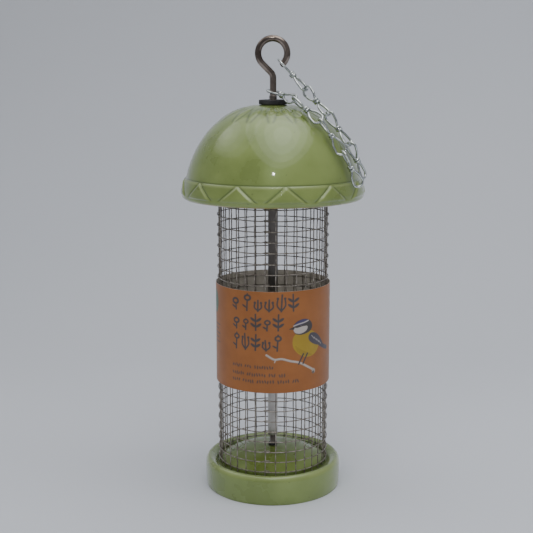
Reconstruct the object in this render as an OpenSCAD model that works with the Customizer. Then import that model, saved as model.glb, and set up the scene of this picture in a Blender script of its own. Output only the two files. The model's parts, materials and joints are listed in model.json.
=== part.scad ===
// Hanging bird feeder: a wire mesh seed tube between a glazed dish and a glazed bell roof.
// +Z is up. The origin is the centre of the dish's foot, on the surface it stands on.
// The printed side of the card sleeve faces -Y and the chain lies over the +X side of the roof.

/* [Dish] */
// Widest radius of the glazed dish
dish_r = 42.2; // [41:0.1:46]
// Height of the dish's raised edge
dish_h = 18.5; // [18:0.5:20]
// Radius of the recess under the dish
recess_r = 33; // [28:0.5:34]
// Height of the raised boss in the middle of the dish
boss_z = 23.5; // [22:0.5:24]

/* [Mesh tube] */
// Number of upright wires
upright_count = 33; // [24:1:36]
// Distance between neighbouring ring wires
mesh_pitch = 6.35; // [5:0.05:8]
// Thickness of the mesh wire
mesh_wire_d = 0.9; // [0.6:0.1:1.2]
// Height at which the upright wires end, under the roof
mesh_top_z = 217; // [200:1:217]

/* [Centre tube] */
// Outside diameter of the centre tube
tube_d = 6; // [5.8:0.1:7]
// Height of the tube's lower end
tube_bottom_z = 30.4; // [28:0.2:34]
// Diameter of the screw that holds the dish
screw_d = 4; // [3.4:0.1:4]

/* [Card sleeve] */
// Height of the sleeve's lower edge
label_bottom_z = 67.7; // [62:0.1:75]
// Height of the printed sleeve
label_h = 61.3; // [50:0.1:65]
// Thickness of the card
card_t = 0.4; // [0.3:0.05:0.6]

/* [Roof] */
// Radius of the crown where it meets the band
crown_r = 52.5; // [52:0.1:54]
// Height of the crown above the band
crown_h = 47; // [46:0.5:48]
// Height of the roof's lower rim
rim_z = 180; // [178:0.5:182]
// Number of raised triangles on the band
triangle_count = 12; // [8:1:16]
// How far the triangles stand out of the band
triangle_relief = 0.8; // [0.4:0.1:1]

/* [Eye bolt] */
// Diameter of the bent rod
rod_d = 3.9; // [3.5:0.1:4.2]
// Diameter over the thread
thread_d = 5; // [4.6:0.1:5]
// Radius of the eye, to the middle of the rod
eye_r = 8.6; // [8.4:0.1:8.8]

/* [Chain] */
// Thickness of the chain wire
chain_wire_d = 1.4; // [1.2:0.1:1.4]
// Half width of a loop, to the middle of its wire
loop_r = 3.2; // [3:0.1:3.3]
// Length of the wrapped knot in the middle of a link
knot_length = 3.4; // [2:0.2:5]
// Diameter of the wrapped knot
knot_d = 3.4; // [3:0.1:3.6]

/* [Hidden] */

glaze = [0.43, 0.49, 0.26];
steel = [0.62, 0.62, 0.63];
dark_steel = [0.27, 0.24, 0.22];
mesh_steel = [0.36, 0.33, 0.3];
zinc = [0.72, 0.74, 0.72];
black_rubber = [0.09, 0.09, 0.1];
orange_card = [0.57, 0.35, 0.2];

round_steps = 96;
wire_steps = 24;
ring_sides = 8;

// Dish
foot_r = dish_r - 1.6;
groove_out_r = 35;
groove_in_r = 32;
groove_z = 14.5;
boss_r = 6;
floor_t = 6;
screw_hole_r = screw_d / 2 + 0.3;

// Screw stack under the dish
gasket_t = 1.6;
washer_t = 1;
head_r = 4;
head_h = 2.7;
gasket_bottom_z = boss_z - floor_t - gasket_t;
washer_bottom_z = gasket_bottom_z - washer_t;
screw_top_z = 45;
seal_ring_t = 1.5;

// Mesh
upright_r = 32.85;
ring_r = upright_r + mesh_wire_d + 0.02;
first_ring_z = groove_z + 3.3;
ring_count = floor((mesh_top_z - first_ring_z) / mesh_pitch) + 1;

// Roof
crown_base_z = 188.5;
crown_power = 2.6;
crown_root = 0.65;
shell_t = 4.5;
band_top_z = 192.6;
band_top_r = 53.2;
band_low_r = 54.7;
roof_hole_r = thread_d / 2 + 0.7;
seat_r = 9;
crown_top_z = crown_base_z + crown_h;
under_top_z = crown_top_z - shell_t - 1;
inner_r = crown_r - shell_t;
inner_h = under_top_z - crown_base_z;

// Centre tube and its upper fittings
tube_top_washer_t = 1.2;
tube_top_washer_r = 5.5;
tube_top_z = under_top_z - tube_top_washer_t;
socket_r = thread_d / 2 + 0.05;
socket_bottom_z = tube_top_z - 17;
bolt_bottom_z = tube_top_z - 14.4;

// Washer on the crown and the eye bolt above it
top_washer_t = 2.7;
top_washer_r = 8.5;
thread_top_z = 241;
eye_centre = [-0.3, 265.4];
eye_open_angle = -57;
neck_angle = 225;
neck_bend_r = 5;

// Points where the chain pivots: the first is the eye or the shank, the others are the
// middle of each link's lower end wire. Both strands run down over the roof.
right_strand = [[5.5, 0, 259], [19.5, -5.5, 244], [32, -16.5, 230], [44.5, -22, 213],
                [53.6, -17, 193.8]];
front_strand = [[0, 0, 243], [12.5, -15, 238.5], [27, -28, 227], [40, -32, 209],
                [50, -28.5, 190]];
right_roll = -15;
front_roll = -45;
eye_reach = 3.5;
link_play = 0.35;
loop_sides = 8;
loop_steps = 10;

function crown_z(r) =
    crown_base_z + crown_h * pow(max(0, 1 - pow(r / crown_r, crown_power)), crown_root);
function under_z(r) =
    crown_base_z + inner_h * pow(max(0, 1 - pow(r / inner_r, crown_power)), crown_root);

function unit(v) = v / norm(v);
// Direction that leaves the roof at right angles, at a point above the crown
function roof_normal(p) =
    let (r = norm([p.x, p.y]), e = 0.5,
         slope = (crown_z(min(r, crown_r - 4) - e) - crown_z(min(r, crown_r - 4) + e)) / (2 * e))
    unit([p.x / r * slope, p.y / r * slope, 1]);
// Pivot direction at a point of a strand: along the roof, rolled about the chain's run
function pivot_axis(p, run, roll) =
    let (out = roof_normal(p), along = unit(cross(run, out)), up = cross(along, run))
    unit(cos(roll) * along + sin(roll) * up);
// Lower pivot direction of link i of a strand
function lower_axis(strand, i, roll) =
    pivot_axis(strand[i + 1], unit(strand[i + 1] - strand[i]), roll);

module ring(r_in, r_out, z0, h)
{
    translate([0, 0, z0]) {
        difference() {
            cylinder(r = r_out, h = h, $fn = round_steps);
            translate([0, 0, -1]) cylinder(r = r_in, h = h + 2, $fn = round_steps);
        }
    }
}

// Rounded dish on a foot ring, with a groove for the mesh and a boss for the screw
module base_dish()
{
    edge_r = 3;
    crest_r = (dish_r + groove_out_r) / 2;
    crest_round = (dish_r - groove_out_r) / 2;
    outline = concat(
        [[recess_r, 0], [foot_r - edge_r, 0]],
        [for (a = [-75:15:0]) [foot_r - edge_r + edge_r * cos(a), edge_r + edge_r * sin(a)]],
        [for (a = [-40:20:40]) [dish_r - 5 * (1 - cos(a)), 9 + 6 * sin(a) / sin(40)]],
        [for (a = [30:15:165])
            [crest_r + crest_round * cos(a), dish_h - crest_round + crest_round * sin(a)]],
        [[groove_out_r, groove_z], [groove_in_r, groove_z], [groove_in_r, groove_z + 2]],
        [for (a = [75:-15:15]) [boss_r + (groove_in_r - boss_r) * sin(a),
            groove_z + 2 + (boss_z - groove_z - 2) * (1 - pow(sin(a), 2))]],
        [[boss_r, boss_z], [screw_hole_r, boss_z], [screw_hole_r, boss_z - floor_t],
         [boss_r + 4, boss_z - floor_t], [recess_r - 2, groove_z - 4], [recess_r, groove_z - 6]]);
    color(glaze) rotate_extrude($fn = round_steps) polygon(outline);
}

module base_gasket()
{
    color(black_rubber) ring(screw_hole_r, 6.5, gasket_bottom_z, gasket_t);
}

module base_screw_washer()
{
    color(steel) ring(screw_d / 2 + 0.15, 6, washer_bottom_z, washer_t);
}

// Pan head screw that comes up through the dish into the tube, with a cross slot
module base_screw()
{
    slot_w = 1.1;
    slot_deep = 1.6;
    color(steel) difference() {
        union() {
            translate([0, 0, washer_bottom_z - head_h])
                cylinder(r1 = head_r - 0.8, r2 = head_r, h = 1, $fn = round_steps);
            translate([0, 0, washer_bottom_z - head_h + 1])
                cylinder(r = head_r, h = head_h - 1, $fn = round_steps);
            translate([0, 0, washer_bottom_z - 1])
                cylinder(d = screw_d, h = screw_top_z - washer_bottom_z + 1, $fn = round_steps);
        }
        for (turn = [0, 90]) {
            translate([0, 0, washer_bottom_z - head_h])
                rotate([0, 0, turn])
                    cube([head_r * 1.2, slot_w, slot_deep * 2], center = true);
        }
    }
}

module base_seal_ring()
{
    color(black_rubber) ring(screw_d / 2 + 0.05, 2.8, boss_z, seal_ring_t);
}

// Tube tapped at both ends: the dish screw below and the eye bolt above
module centre_tube()
{
    color(steel) difference() {
        translate([0, 0, tube_bottom_z])
            cylinder(d = tube_d, h = tube_top_z - tube_bottom_z, $fn = round_steps);
        translate([0, 0, tube_bottom_z - 1])
            cylinder(r = screw_d / 2 + 0.02, h = tube_top_z, $fn = round_steps);
        translate([0, 0, socket_bottom_z])
            cylinder(r = socket_r, h = 30, $fn = round_steps);
    }
}

module tube_top_washer()
{
    color(black_rubber) ring(socket_r + 0.15, tube_top_washer_r, tube_top_z, tube_top_washer_t);
}

module mesh_uprights()
{
    color(mesh_steel) for (i = [0:upright_count - 1]) {
        rotate([0, 0, 360 * i / upright_count])
            translate([upright_r, 0, groove_z])
                cylinder(d = mesh_wire_d, h = mesh_top_z - groove_z, $fn = wire_steps);
    }
}

module mesh_rings()
{
    color(mesh_steel) for (i = [0:ring_count - 1]) {
        translate([0, 0, first_ring_z + i * mesh_pitch])
            rotate_extrude($fn = round_steps)
                translate([ring_r, 0]) circle(d = mesh_wire_d, $fn = ring_sides);
    }
}

module label_sleeve()
{
    sleeve_r = ring_r + mesh_wire_d / 2 + 0.3;
    color(orange_card) ring(sleeve_r, sleeve_r + card_t, label_bottom_z, label_h);
}

// Outline of the bell roof, thickened over the band by the given amount
module roof_outline(band_extra)
{
    lip_round = 2.2;
    polygon(concat(
        [[roof_hole_r, under_top_z], [roof_hole_r, crown_top_z], [seat_r, crown_z(seat_r)]],
        [for (r = [14:5:44]) [r, crown_z(r)]],
        [for (r = [47, 49.5, 51.3]) [r, crown_z(r)]],
        [[band_top_r - 1.1, band_top_z + 0.9], [band_top_r - 1.1, band_top_z],
         [band_top_r + band_extra, band_top_z - 0.6]],
        [[band_low_r + band_extra, rim_z + 5]],
        [for (a = [0:-30:-180])
            [band_low_r - lip_round + lip_round * cos(a), rim_z + lip_round + lip_round * sin(a)]],
        [[inner_r + 1.2, rim_z + 5], [inner_r, crown_base_z]],
        [for (r = [47, 45, 42]) [r, under_z(r)]],
        [for (r = [38:-6:14]) [r, under_z(r)]],
        [[tube_top_washer_r + 1.5, under_top_z]]));
}

module roof_dome()
{
    triangle_w = 24;
    triangle_low_z = rim_z + 3.4;
    triangle_top_z = band_top_z - 0.4;
    half_w = (band_low_r + 1) * tan(triangle_w / 2);
    color(glaze) union() {
        rotate_extrude($fn = round_steps) roof_outline(0);
        intersection() {
            rotate_extrude($fn = round_steps) roof_outline(triangle_relief);
            for (i = [0:triangle_count - 1]) {
                rotate([0, 0, (i + 0.25) * 360 / triangle_count])
                    translate([band_low_r - 4, 0, 0])
                        rotate([90, 0, 90])
                            linear_extrude(height = 8)
                                polygon([[-half_w, triangle_low_z], [half_w, triangle_low_z],
                                         [0, triangle_top_z]]);
            }
        }
    }
}

module roof_top_washer()
{
    color(black_rubber) ring(thread_d / 2 + 0.06, top_washer_r, crown_top_z + 0.05, top_washer_t);
}

// Round wire bent along a flat path of points in the XY plane
module bent_wire(path, wire_r, sides)
{
    count = len(path);
    runs = [for (i = [0:count - 1]) unit(path[min(i + 1, count - 1)] - path[max(i - 1, 0)])];
    points = [for (i = [0:count - 1]) for (s = [0:sides - 1])
        let (a = 360 * s / sides, side = [-runs[i].y, runs[i].x] * wire_r * cos(a))
            [path[i].x + side.x, path[i].y + side.y, wire_r * sin(a)]];
    walls = [for (i = [0:count - 2]) for (s = [0:sides - 1])
        let (t = (s + 1) % sides)
            [i * sides + s, (i + 1) * sides + s, (i + 1) * sides + t, i * sides + t]];
    first_cap = [for (s = [0:sides - 1]) s];
    last_cap = [for (s = [sides - 1:-1:0]) (count - 1) * sides + s];
    polyhedron(points, concat([first_cap], walls, [last_cap]));
}

// Bent rod: thread, shank, swan neck and open eye
module eye_bolt()
{
    rod_sides = 20;
    sunk = 3;
    neck_start = eye_centre + eye_r * [cos(neck_angle), sin(neck_angle)];
    corner_z = neck_start.y + neck_start.x;
    bend_z = corner_z - neck_bend_r * tan(45 / 2);
    path = concat([[0, thread_top_z - sunk]],
        [for (a = [0:9:45]) [neck_bend_r * (cos(a) - 1), bend_z + neck_bend_r * sin(a)]],
        [for (a = [neck_angle:-6:eye_open_angle]) eye_centre + eye_r * [cos(a), sin(a)]]);
    color(dark_steel) union() {
        translate([0, 0, bolt_bottom_z])
            cylinder(d = thread_d, h = thread_top_z - bolt_bottom_z, $fn = round_steps);
        rotate([90, 0, 0]) bent_wire(path, rod_d / 2, rod_sides);
    }
}

// One flat loop of chain wire: its tip is at the origin and its two legs close in along +X
module wire_loop(length)
{
    wire_r = chain_wire_d / 2;
    leg_gap = wire_r + 0.1;
    bent_wire(concat([[length, leg_gap]],
        [for (i = [0:loop_steps]) let (a = 90 - 180 * i / loop_steps)
            [loop_r * (1 - cos(a)), loop_r * sin(a)]],
        [[length, -leg_gap]]), wire_r, loop_sides);
}

// Turns local X, Y to two given directions at a place
module laid_along(place, run, side)
{
    third = cross(run, side);
    multmatrix([[run.x, side.x, third.x, place.x],
                [run.y, side.y, third.y, place.y],
                [run.z, side.z, third.z, place.z],
                [0, 0, 0, 1]])
        children();
}

// Double loop link from its upper pivot to its lower end wire. The upper loop stands
// across the upper pivot direction and the lower loop's end wire runs along the lower one.
module chain_link(from, to, upper_pivot, lower_pivot, reach)
{
    run = unit(to - from);
    whole = norm(to - from) + reach;
    loop_length = (whole - knot_length) / 2 + 0.6;
    upper_side = unit(cross(upper_pivot, run));
    lower_side = unit(lower_pivot - (lower_pivot * run) * run);
    color(zinc) union() {
        laid_along(from - reach * run, run, upper_side) wire_loop(loop_length);
        laid_along(to, -run, lower_side) wire_loop(loop_length);
        laid_along(from + run * ((whole - knot_length) / 2 - reach), run, upper_side)
            rotate([0, 90, 0]) cylinder(d = knot_d, h = knot_length, $fn = wire_steps);
    }
}

// Link i of a strand, counted from 0 at the eye bolt
module strand_link(strand, i, roll, first_pivot)
{
    upper_pivot = i == 0 ? first_pivot : lower_axis(strand, i - 1, roll);
    reach = i == 0 ? eye_reach : chain_wire_d + link_play;
    chain_link(strand[i], strand[i + 1], upper_pivot, lower_axis(strand, i, roll), reach);
}

module right_link(i)
{
    spoke = [right_strand[0].x - eye_centre.x, right_strand[0].z - eye_centre.y];
    strand_link(right_strand, i, right_roll, unit([-spoke.y, 0, spoke.x]));
}

module front_link(i)
{
    strand_link(front_strand, i, front_roll, [0, 0, 1]);
}

base_dish();
base_screw();
base_screw_washer();
base_gasket();
base_seal_ring();
centre_tube();
tube_top_washer();
mesh_uprights();
mesh_rings();
label_sleeve();
roof_dome();
roof_top_washer();
eye_bolt();
right_link(0);  // chain_link_1
right_link(1);  // chain_link_2
right_link(2);  // chain_link_3
right_link(3);  // chain_link_4
front_link(0);  // chain_link_5
front_link(1);  // chain_link_6
front_link(2);  // chain_link_7
front_link(3);  // chain_link_8
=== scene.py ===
"""Hanging bird feeder: the looks of every piece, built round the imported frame."""
import json
import math
import random

import bpy
import numpy as np
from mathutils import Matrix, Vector


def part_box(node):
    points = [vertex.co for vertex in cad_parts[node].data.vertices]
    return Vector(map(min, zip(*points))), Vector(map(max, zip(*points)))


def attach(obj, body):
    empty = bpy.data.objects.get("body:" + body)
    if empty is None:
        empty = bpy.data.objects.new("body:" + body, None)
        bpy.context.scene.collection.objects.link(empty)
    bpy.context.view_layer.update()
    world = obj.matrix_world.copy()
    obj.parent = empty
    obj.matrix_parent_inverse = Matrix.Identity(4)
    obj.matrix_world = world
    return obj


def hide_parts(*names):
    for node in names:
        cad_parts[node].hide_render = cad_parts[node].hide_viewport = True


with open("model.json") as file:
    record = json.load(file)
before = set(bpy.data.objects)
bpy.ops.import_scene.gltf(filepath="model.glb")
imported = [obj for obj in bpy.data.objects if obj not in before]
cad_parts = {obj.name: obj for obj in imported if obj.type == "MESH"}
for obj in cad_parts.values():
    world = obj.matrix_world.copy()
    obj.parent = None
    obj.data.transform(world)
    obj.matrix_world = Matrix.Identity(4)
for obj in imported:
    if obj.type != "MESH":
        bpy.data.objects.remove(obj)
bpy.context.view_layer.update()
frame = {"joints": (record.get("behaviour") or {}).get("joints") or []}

MM = 0.001
TAU = 2 * math.pi


# ---------------------------------------------------------------- camera

def add_camera():
    """Close camera a little above the roof's rim, tilted down at the mesh tube."""
    place = (-3.93 * MM, -647 * MM, 260 * MM)
    tilt_down = math.radians(10.72)
    lens_data = bpy.data.cameras.new("camera")
    lens_data.sensor_width = 36
    lens_data.lens = 72.8
    lens_data.clip_start = 0.01
    camera = bpy.data.objects.new("camera", lens_data)
    camera.location = place
    camera.rotation_euler = (math.pi / 2 - tilt_down, 0, 0)
    bpy.context.collection.objects.link(camera)
    bpy.context.scene.camera = camera


add_camera()


# ---------------------------------------------------------------- sizes read from the frame

def low(node):
    return np.array(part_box(node)[0]) / MM


def high(node):
    return np.array(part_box(node)[1]) / MM


def joint_called(name):
    return next(joint for joint in frame["joints"] if joint["name"] == name)


def joint_place(name):
    """Pivot of a joint in millimetres."""
    return np.array(joint_called(name)["pos_m"]) / MM


DISH_R = high("base_dish")[0]
BOSS_Z = high("base_dish")[2]
ROOF_TOP_Z = high("roof_dome")[2]
RIM_Z = low("roof_dome")[2]
TUBE_R = high("centre_tube")[0]
TUBE_Z = (low("centre_tube")[2], high("centre_tube")[2])
MESH_Z = (low("mesh_uprights")[2], high("mesh_uprights")[2])
RING_Z = (low("mesh_rings")[2], high("mesh_rings")[2])
SLEEVE_Z = (low("label_sleeve")[2], high("label_sleeve")[2])
SLEEVE_R = high("label_sleeve")[0]
EYE_TOP_Z = high("eye_bolt")[2]


# ---------------------------------------------------------------- mesh helpers

def new_piece(name, points, faces, body, slot, replaces=(), material=None):
    """A mesh from millimetre points, riding on a body and standing for CAD nodes."""
    mesh = bpy.data.meshes.new(name)
    mesh.from_pydata([tuple(p) for p in np.asarray(points) * MM], [], [tuple(f) for f in faces])
    mesh.update()
    mesh.shade_smooth()
    piece = bpy.data.objects.new(name, mesh)
    bpy.context.collection.objects.link(piece)
    mesh.materials.append(material)
    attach(piece, body)
    if replaces:
        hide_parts(*replaces)
    return piece


def set_mask(piece, name, values):
    """Stores one number per vertex, which a material reads by name."""
    mask = piece.data.attributes.new(name, "FLOAT", "POINT")
    mask.data.foreach_set("value", np.asarray(values, dtype=np.float32))


def grid_faces(rows, cols, closed_rows=False):
    """Quads round a grid of points stored row by row; closed_rows joins the last row to the first."""
    faces = []
    for i in range(rows if closed_rows else rows - 1):
        above = (i + 1) % rows * cols
        for j in range(cols):
            after = (j + 1) % cols
            faces.append((i * cols + j, above + j, above + after, i * cols + after))
    return faces


def resample(outline, spacing):
    """Evenly spaced points along an outline of (radius, height) points."""
    outline = np.asarray(outline, float)
    steps = np.hypot(*np.diff(outline, axis=0).T)
    along = np.concatenate([[0], np.cumsum(steps)])
    count = max(2, int(round(along[-1] / spacing)) + 1)
    places = np.linspace(0, along[-1], count)
    return np.stack([np.interp(places, along, outline[:, k]) for k in (0, 1)], axis=1)


def round_corners(outline, radius, steps=5, closed=True):
    """Replaces each sharp corner of an outline by a curve of about the given radius, which takes
    less than half of the edge on either side."""
    outline = [np.array(p, float) for p in outline]
    count = len(outline)
    most_of_edge = 0.45
    out = []
    for i, corner in enumerate(outline):
        if not closed and i in (0, count - 1):
            out.append(corner)
            continue
        back, ahead = outline[i - 1] - corner, outline[(i + 1) % count] - corner
        back_length, ahead_length = np.linalg.norm(back), np.linalg.norm(ahead)
        reach = min(radius, back_length * most_of_edge, ahead_length * most_of_edge)
        a = corner + back / back_length * reach
        b = corner + ahead / ahead_length * reach
        for t in np.linspace(0, 1, steps):
            out.append((1 - t) ** 2 * a + 2 * t * (1 - t) * corner + t ** 2 * b)
    return np.array(out)


def lathe(outline, turns):
    """Points and faces of a closed outline turned round the Z axis."""
    outline = np.asarray(outline, float)
    angles = np.arange(turns) * TAU / turns
    r, z = outline[:, 0][:, None], outline[:, 1][:, None]
    points = np.stack([r * np.cos(angles), r * np.sin(angles), z + 0 * angles], axis=-1)
    return points.reshape(-1, 3), grid_faces(len(outline), turns, closed_rows=True)


def tube_along(path, radius, sides):
    """Round wire swept along a path without twisting, capped at both ends. radius may vary."""
    path = np.asarray(path, float)
    count = len(path)
    radii = np.broadcast_to(np.asarray(radius, float), (count,))
    runs = np.gradient(path, axis=0)
    runs /= np.linalg.norm(runs, axis=1)[:, None]
    side = np.cross(runs[0], (0.0, 0.0, 1.0))
    if np.linalg.norm(side) < 0.1:
        side = np.cross(runs[0], (0.0, 1.0, 0.0))
    side /= np.linalg.norm(side)
    angles = np.arange(sides) * TAU / sides
    points = []
    for i in range(count):
        side = side - np.dot(side, runs[i]) * runs[i]
        side /= np.linalg.norm(side)
        third = np.cross(runs[i], side)
        ring = np.outer(np.cos(angles), side) + np.outer(np.sin(angles), third)
        points.append(path[i] + radii[i] * ring)
    points = np.concatenate(points)
    faces = [tuple(reversed(face)) for face in grid_faces(count, sides)]
    faces.append(tuple(reversed(range(sides))))
    faces.append(tuple(range((count - 1) * sides, count * sides)))
    return points, faces


class Bundle:
    """Collects many wires into one mesh."""

    def __init__(self):
        self.points, self.faces, self.size = [], [], 0

    def add(self, points, faces):
        self.points.append(points)
        self.faces += [tuple(v + self.size for v in f) for f in faces]
        self.size += len(points)

    def piece(self, name, *args, **kwargs):
        return new_piece(name, np.concatenate(self.points), self.faces, *args, **kwargs)


def smooth_path(points, per_span=8, closed=False):
    """Catmull-Rom curve through given points."""
    p = np.asarray(points, float)
    n = len(p)
    out = []
    for i in range(n if closed else n - 1):
        around = [i - 1, i, i + 1, i + 2]
        a, b, c, d = p[[k % n for k in around]] if closed else p[np.clip(around, 0, n - 1)]
        for t in np.arange(per_span) / per_span:
            out.append(0.5 * (2 * b + (c - a) * t + (2 * a - 5 * b + 4 * c - d) * t * t
                              + (3 * b - a - 3 * c + d) * t ** 3))
    if not closed:
        out.append(p[-1])
    return np.array(out)


def soft_step(low_edge, high_edge, x):
    t = np.clip((x - low_edge) / (high_edge - low_edge), 0, 1)
    return t * t * (3 - 2 * t)


def ridge(x, middle, width):
    """1 where x is at the middle, falling off smoothly on both sides."""
    return np.exp(-((x - middle) / width) ** 2)


# ---------------------------------------------------------------- shared effects

def new_group(name, inputs, outputs):
    """Empty shader node group with named sockets: ("FLOAT" or "COLOR", name, default)."""
    group = bpy.data.node_groups.new(name, "ShaderNodeTree")
    kinds = {"FLOAT": "NodeSocketFloat", "COLOR": "NodeSocketColor"}
    for kind, socket_name, default in inputs:
        socket = group.interface.new_socket(socket_name, in_out="INPUT", socket_type=kinds[kind])
        if default is not None:
            socket.default_value = default
    for kind, socket_name in outputs:
        group.interface.new_socket(socket_name, in_out="OUTPUT", socket_type=kinds[kind])
    group.nodes.new("NodeGroupInput")
    group.nodes.new("NodeGroupOutput")
    return group


class Wiring:
    """Short words for adding and joining nodes in one tree."""

    def __init__(self, tree):
        self.tree = tree

    def add(self, kind, **settings):
        node = self.tree.nodes.new(kind)
        for key, value in settings.items():
            if key in node.inputs:
                node.inputs[key].default_value = value
            else:
                setattr(node, key, value)
        return node

    def join(self, source, target):
        self.tree.links.new(source, target)

    def math(self, operation, a, b=0.0, clamp=False):
        node = self.tree.nodes.new("ShaderNodeMath")
        node.operation = operation
        node.use_clamp = clamp
        for socket, value in zip(node.inputs, (a, b)):
            if isinstance(value, (int, float)):
                socket.default_value = value
            else:
                self.join(value, socket)
        return node.outputs[0]

    def mix(self, factor, a, b, blend="MIX"):
        node = self.tree.nodes.new("ShaderNodeMix")
        node.data_type = "RGBA"
        node.blend_type = blend
        for socket, value in ((node.inputs[0], factor), (node.inputs[6], a), (node.inputs[7], b)):
            if hasattr(value, "links"):
                self.join(value, socket)
            elif isinstance(value, (int, float)):
                socket.default_value = value
            else:
                socket.default_value = (*value, 1.0)
        return node.outputs[2]

    def noise(self, place, scale, detail=3.0, roughness=0.5):
        node = self.add("ShaderNodeTexNoise", Scale=scale, Detail=detail, Roughness=roughness)
        self.join(place, node.inputs["Vector"])
        return node.outputs["Fac"]

    def ramp(self, value, low_end, high_end):
        """Maps value from low_end..high_end to 0..1, held at the ends."""
        node = self.add("ShaderNodeMapRange", interpolation_type="SMOOTHSTEP")
        node.inputs["From Min"].default_value = low_end
        node.inputs["From Max"].default_value = high_end
        self.join(value, node.inputs["Value"])
        return node.outputs[0]


def object_place(w):
    return w.add("ShaderNodeTexCoord").outputs["Object"]


def group_wiring(group):
    """Wiring of a group, with its own inputs and outputs by name."""
    return Wiring(group), group.nodes["Group Input"].outputs, group.nodes["Group Output"].inputs


def make_cloudy_group():
    """Soft, slow colour change, as in a poured glaze, a card print or a dull wire."""
    group = new_group("cloudy_colour",
                      [("COLOR", "Light", None), ("COLOR", "Dark", None), ("FLOAT", "Size", 60.0)],
                      [("COLOR", "Colour"), ("FLOAT", "Cloud")])
    w, given, result = group_wiring(group)
    cloud = w.add("ShaderNodeTexNoise", Detail=4.0, Roughness=0.55)
    w.join(object_place(w), cloud.inputs["Vector"])
    w.join(given["Size"], cloud.inputs["Scale"])
    spread = w.ramp(cloud.outputs["Fac"], 0.33, 0.68)
    w.join(w.mix(spread, given["Dark"], given["Light"]), result["Colour"])
    w.join(spread, result["Cloud"])
    return group


def make_specks_group():
    """Sparse small specks: iron spots in a glaze, dust on rubber, pits in plating."""
    group = new_group("specks", [("FLOAT", "Size", 900.0), ("FLOAT", "Share", 0.1)],
                      [("FLOAT", "Speck")])
    w, given, result = group_wiring(group)
    cells = w.add("ShaderNodeTexVoronoi")
    w.join(object_place(w), cells.inputs["Vector"])
    w.join(given["Size"], cells.inputs["Scale"])
    chosen = w.add("ShaderNodeSeparateColor")
    w.join(cells.outputs["Color"], chosen.inputs[0])
    rare = w.math("LESS_THAN", chosen.outputs[0], given["Share"])
    near = w.math("SUBTRACT", 1.0, w.ramp(cells.outputs["Distance"], 0.12, 0.3))
    w.join(w.math("MULTIPLY", rare, near), result["Speck"])
    return group


def make_streaks_group():
    """Fine drawn lines along one axis, as on drawn wire, rod and tube."""
    group = new_group("drawn_streaks",
                      [("FLOAT", "Across", 2500.0), ("FLOAT", "Along", 40.0)],
                      [("FLOAT", "Streak")])
    w, given, result = group_wiring(group)
    stretch = w.add("ShaderNodeCombineXYZ")
    for axis, amount in (("X", "Across"), ("Y", "Across"), ("Z", "Along")):
        w.join(given[amount], stretch.inputs[axis])
    scaled = w.add("ShaderNodeVectorMath", operation="MULTIPLY")
    w.join(object_place(w), scaled.inputs[0])
    w.join(stretch.outputs[0], scaled.inputs[1])
    w.join(w.noise(scaled.outputs[0], 1.0, 3.0, 0.6), result["Streak"])
    return group


def make_worn_group():
    """Worn edges: a mask that is 1 on outer edges, broken up by noise."""
    group = new_group("worn_edges", [("FLOAT", "Reach", 0.5), ("FLOAT", "Break up", 200.0)],
                      [("FLOAT", "Worn")])
    w, given, result = group_wiring(group)
    edge = w.add("ShaderNodeNewGeometry").outputs["Pointiness"]
    patch = w.add("ShaderNodeTexNoise", Detail=3.0)
    w.join(object_place(w), patch.inputs["Vector"])
    w.join(given["Break up"], patch.inputs["Scale"])
    edge_mask = w.ramp(edge, 0.5, 0.6)
    broken = w.math("MULTIPLY", edge_mask, w.ramp(patch.outputs["Fac"], 0.35, 0.6))
    w.join(w.math("MULTIPLY", broken, given["Reach"], clamp=True), result["Worn"])
    return group


CLOUDY = make_cloudy_group()
SPECKS = make_specks_group()
STREAKS = make_streaks_group()
WORN = make_worn_group()


# ---------------------------------------------------------------- materials

class Finish:
    """A material under construction: its Principled shader and the wiring round it."""

    def __init__(self, name, **settings):
        self.material = bpy.data.materials.new(name)
        self.material.use_nodes = True
        self.w = Wiring(self.material.node_tree)
        self.shader = self.material.node_tree.nodes["Principled BSDF"]
        for key, value in settings.items():
            self.shader.inputs[key.replace("_", " ")].default_value = value

    def effect(self, group, **amounts):
        node = self.w.add("ShaderNodeGroup")
        node.node_tree = group
        for key, value in amounts.items():
            socket = node.inputs[key.replace("_", " ")]
            socket.default_value = (*value, 1.0) if isinstance(value, tuple) else value
        return node.outputs

    def place(self):
        return object_place(self.w)

    def mask(self, name):
        node = self.w.add("ShaderNodeAttribute", attribute_name=name)
        return node.outputs["Fac"]

    def feed(self, socket, source):
        self.w.join(source, self.shader.inputs[socket])

    def vary(self, socket, source, least, most):
        """Drives a number on the shader from a 0..1 source between two values."""
        span = self.w.math("MULTIPLY", source, most - least)
        self.feed(socket, self.w.math("ADD", span, least))

    def bumps(self, *layers):
        """Stacks bump layers: (height source, strength, depth in metres)."""
        normal = None
        for height, strength, depth in layers:
            node = self.w.add("ShaderNodeBump", Strength=strength, Distance=depth)
            self.w.join(height, node.inputs["Height"])
            if normal is not None:
                self.w.join(normal, node.inputs["Normal"])
            normal = node.outputs[0]
        self.feed("Normal", normal)


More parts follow.
